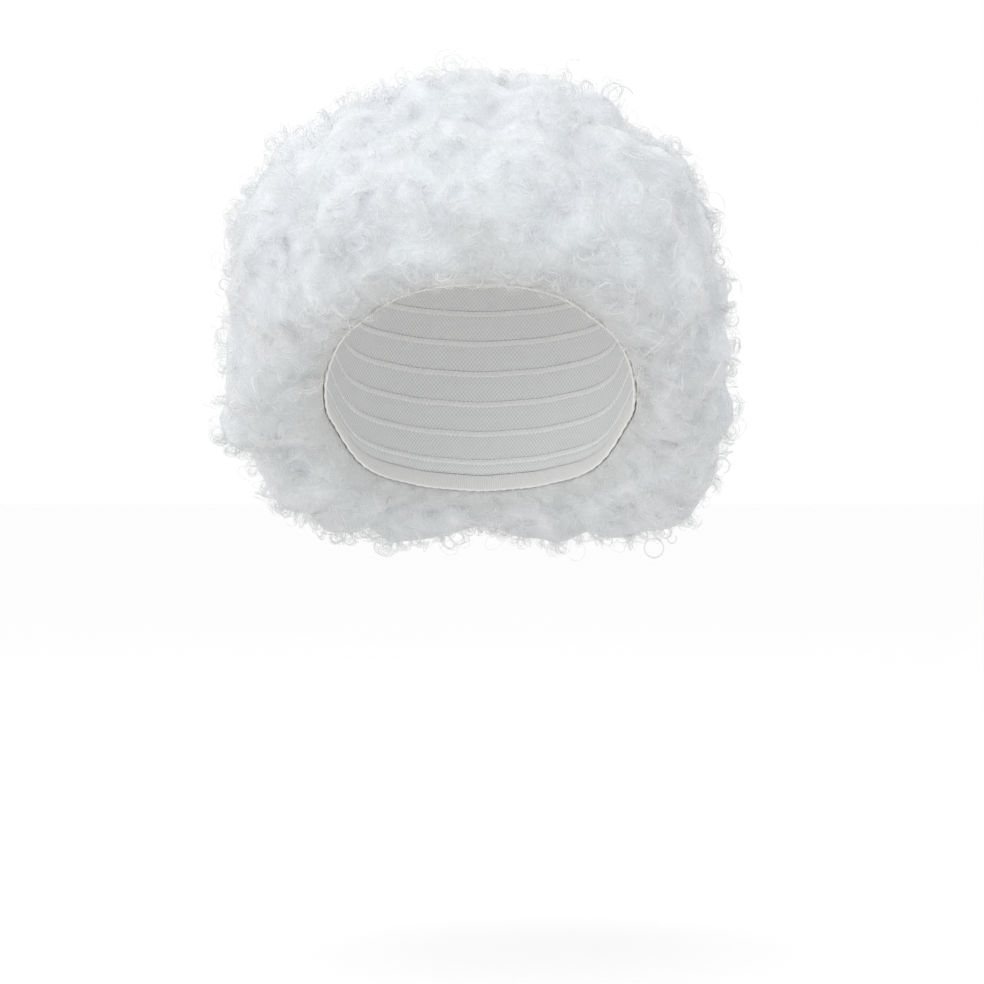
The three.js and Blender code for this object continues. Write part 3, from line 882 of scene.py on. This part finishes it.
# a flat, round-edged profile carried along the rim, with small gathers
def makeBand():
    azimuth = np.linspace(0, fullTurn, band["steps"], endpoint=False)
    width, half = (cap["bandWidth"] - band["seam"]) * mm, band["wall"] / 2 * mm
    turn = np.linspace(0, fullTurn, band["sides"], endpoint=False)[:, None]
    bulge = np.sign(np.cos(turn)) * np.abs(np.cos(turn)) ** band["edgeRound"]
    flat = np.sign(np.sin(turn)) * np.abs(np.sin(turn)) ** band["faceRound"]
    gather = band["gather"] * mm * np.sin(azimuth * band["gathers"])
    gather = gather * (1 + bulge) / 2 * np.where(flat > 0, 1, band["innerGather"])
    fromCrown = rimAngle(azimuth) + (bulge - 1) * width / 2 * anglePerMetre
    points = onForm(azimuth, fromCrown, half + flat * half * band["fill"] + gather)
    quads = ringFaces(band["sides"], band["steps"], wrapRings=True)
    piece = makePiece("elastic_band", points.reshape(-1, 3), quads, [], bandMaterial())
    along = np.broadcast_to(azimuth * band["knitRound"], fromCrown.shape)
    setPattern(piece, "bandKnit", np.stack([along, fromCrown * band["knitDown"]], axis=-1).reshape(-1, 2))
    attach(piece, "root")
    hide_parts("edge_band")


# the sewn rows from the first to the last share of the way down the net, and how their profile stands on it
tracks = {
    "count": 12, "first": 0.13, "last": 0.965, "steps": 160, "sides": 8,
    "halfWidth": 1.7, "top": 0.95, "proud": 0.8, "sewnRound": 80.0,
}


def trackMaterial():
    look = {
        "stitch": 2.6, "swing": 0.8, "limits": (0.15, 0.5),
        "weft": (0.80, 0.81, 0.82, 1), "thread": (0.93, 0.93, 0.925, 1),
        "bump": 0.7, "bumpDepth": 0.0004, "roughness": 0.8, "shine": 0.2,
    }
    material, wire = newMaterial("sewn_weft")
    spot = wire.make("ShaderNodeUVMap", {"uv_map": "stitches"})
    zigzag = (spot.axis("X") * (fullTurn / look["stitch"])).sine()
    thread = 1 - (spot.axis("Y") - zigzag * look["swing"]).absolute().between(*look["limits"])
    closeMaterial(wire, look, wire.mix(thread, look["weft"], look["thread"]), thread)
    return material


# the sewn edges of the wefts: a low oval profile carried round the inside of the net, row under row
def makeTracks():
    azimuth = np.linspace(0, fullTurn, tracks["steps"], endpoint=False)
    shares = np.linspace(tracks["first"], tracks["last"], tracks["count"])[:, None, None]
    turn = np.linspace(0, fullTurn, tracks["sides"], endpoint=False)[:, None]
    fromCrown = shares * netAngle(azimuth) + np.cos(turn) * tracks["halfWidth"] * mm * anglePerMetre
    height = (tracks["top"] - tracks["proud"] * (1 + np.sin(turn)) / 2) * mm
    points = onForm(azimuth, fromCrown, height)
    firsts = np.arange(tracks["count"]) * tracks["sides"] * tracks["steps"]
    quads = np.concatenate([ringFaces(tracks["sides"], tracks["steps"], first, True) for first in firsts])
    piece = makePiece("weft_tracks", points.reshape(-1, 3), quads[:, ::-1], [], trackMaterial())
    along = np.broadcast_to(azimuth * tracks["sewnRound"], fromCrown.shape)
    across = np.broadcast_to(np.cos(turn), fromCrown.shape)
    setPattern(piece, "stitches", np.stack([along, across], axis=-1).reshape(-1, 2))
    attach(piece, "root")


makeCap()
makeBand()
makeTracks()
print("cap, band and sewn tracks: done")
